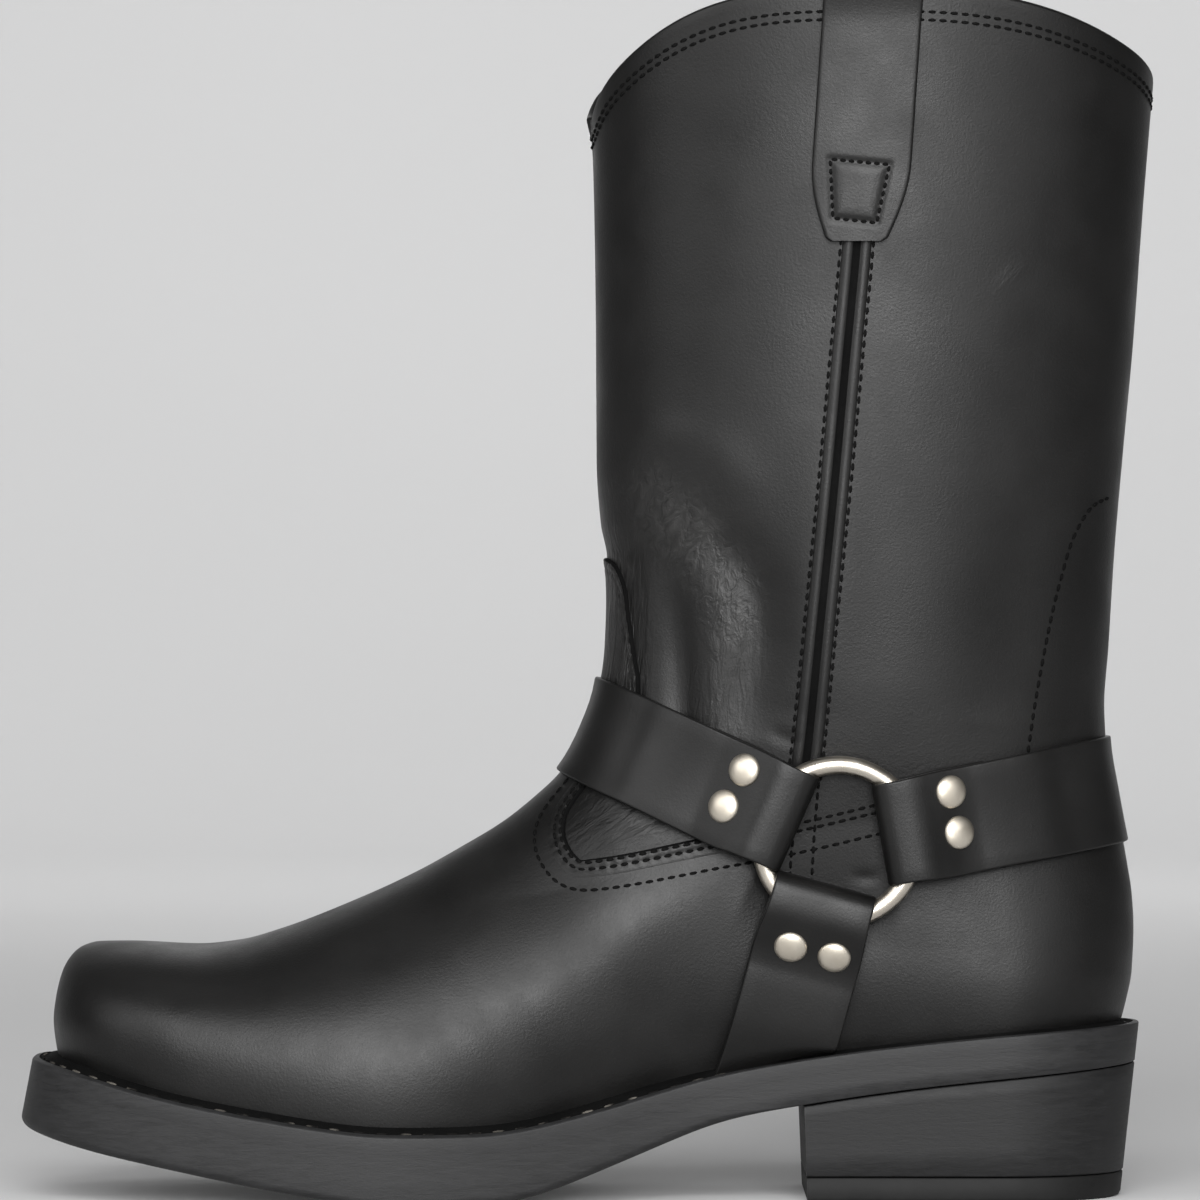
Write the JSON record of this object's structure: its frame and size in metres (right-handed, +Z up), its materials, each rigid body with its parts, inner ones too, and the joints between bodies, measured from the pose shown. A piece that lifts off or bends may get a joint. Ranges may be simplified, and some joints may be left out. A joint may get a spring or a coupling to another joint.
{
  "type": "western boot",
  "caption": "Black leather western boot with a blunt toe, stacked heel, pull loops at the collar and a riveted ring-and-strap harness round the ankle.",
  "frame": {"origin": "on the floor, under the middle of the bounding box", "axes": "+X from toe to heel, +Y from the outer side to the inner side, +Z up from the floor to the collar"},
  "size_m": [0.3099, 0.1093, 0.3426],
  "materials": {
    "black_leather": "oiled, soft gloss",
    "harness_leather": "smooth, burnished edges",
    "sole_leather": "dyed and waxed edge",
    "lift_rubber": "matt",
    "insole_leather": "unfinished, matt",
    "nickel": "worn polish, warm"
  },
  "bodies": {
    "root": {"arch_strap_inner": "harness_leather", "arch_strap_outer": "harness_leather", "heel": "sole_leather", "heel_lift": "lift_rubber", "heel_strap": "harness_leather", "insole": "insole_leather", "instep_strap": "harness_leather", "outsole": "sole_leather", "pull_loop_inner": "black_leather", "pull_loop_outer": "black_leather", "ring_inner": "nickel", "ring_outer": "nickel", "rivet_arch_inner_1": "nickel", "rivet_arch_inner_2": "nickel", "rivet_arch_outer_1": "nickel", "rivet_arch_outer_2": "nickel", "rivet_heel_inner_1": "nickel", "rivet_heel_inner_2": "nickel", "rivet_heel_outer_1": "nickel", "rivet_heel_outer_2": "nickel", "rivet_instep_inner_1": "nickel", "rivet_instep_inner_2": "nickel", "rivet_instep_outer_1": "nickel", "rivet_instep_outer_2": "nickel", "upper": "black_leather", "welt": "sole_leather"}
  },
  "joints": []
}
